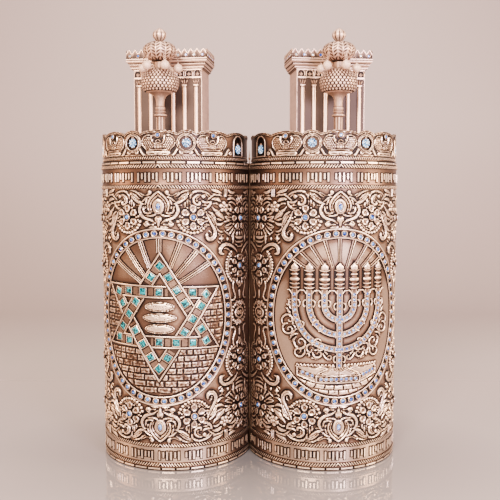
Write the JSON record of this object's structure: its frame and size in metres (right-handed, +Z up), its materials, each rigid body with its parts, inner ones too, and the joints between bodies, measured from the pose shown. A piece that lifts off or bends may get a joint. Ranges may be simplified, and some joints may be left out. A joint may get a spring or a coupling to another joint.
{
  "type": "torah case",
  "caption": "Upright hinged scroll case of embossed copper in two open half cylinders, each topped by a crown band, a columned tower and a belled finial.",
  "frame": {"origin": "centre of the whole case's box on the surface it stands on", "axes": "+Z up, -Y towards the carved outer faces, +X towards the half with the lampstand; the hinge line is at x 0, y 0.0458"},
  "size_m": [0.5632, 0.1848, 0.777],
  "materials": {
    "copper": "embossed antique copper, dark in the recesses",
    "pale_copper": "paler satin copper on towers and finials",
    "bell_copper": "satin pale copper",
    "dark_metal": "darkened metal",
    "blue_crystal": "cut pale blue crystal",
    "turquoise_stone": "cut turquoise glass stone",
    "clear_crystal": "cut clear crystal"
  },
  "bodies": {
    "left_half": {"case_left": "copper", "crown_band_left": "copper", "temple_left": "pale_copper", "finial_left": "pale_copper", "bell_left_1": "bell_copper", "bell_left_2": "bell_copper", "bell_left_3": "bell_copper", "bell_left_4": "bell_copper", "bell_left_5": "bell_copper", "bell_left_6": "bell_copper", "pendant_left_1": "blue_crystal", "pendant_left_2": "blue_crystal", "pendant_left_3": "blue_crystal", "pendant_left_4": "blue_crystal", "hinge_knuckle_left_1": "dark_metal", "hinge_knuckle_left_3": "dark_metal", "hinge_knuckle_left_5": "dark_metal", "hinge_pin": "dark_metal", "clasp_keeper": "dark_metal"},
    "right_half": {"case_right": "copper", "crown_band_right": "copper", "temple_right": "pale_copper", "finial_right": "pale_copper", "bell_right_1": "bell_copper", "bell_right_2": "bell_copper", "bell_right_3": "bell_copper", "bell_right_4": "bell_copper", "bell_right_5": "bell_copper", "bell_right_6": "bell_copper", "pendant_right_1": "blue_crystal", "pendant_right_2": "blue_crystal", "pendant_right_3": "blue_crystal", "pendant_right_4": "blue_crystal", "hinge_knuckle_right_2": "dark_metal", "hinge_knuckle_right_4": "dark_metal", "clasp_hook": "dark_metal"}
  },
  "joints": [
    {"name": "case_hinge", "type": "hinge", "parent": "left_half", "child": "right_half", "pos_m": [0, 0.04581, 0], "axis": [0, 0, 1], "range_deg": [-1.5, 164.3]}
  ]
}
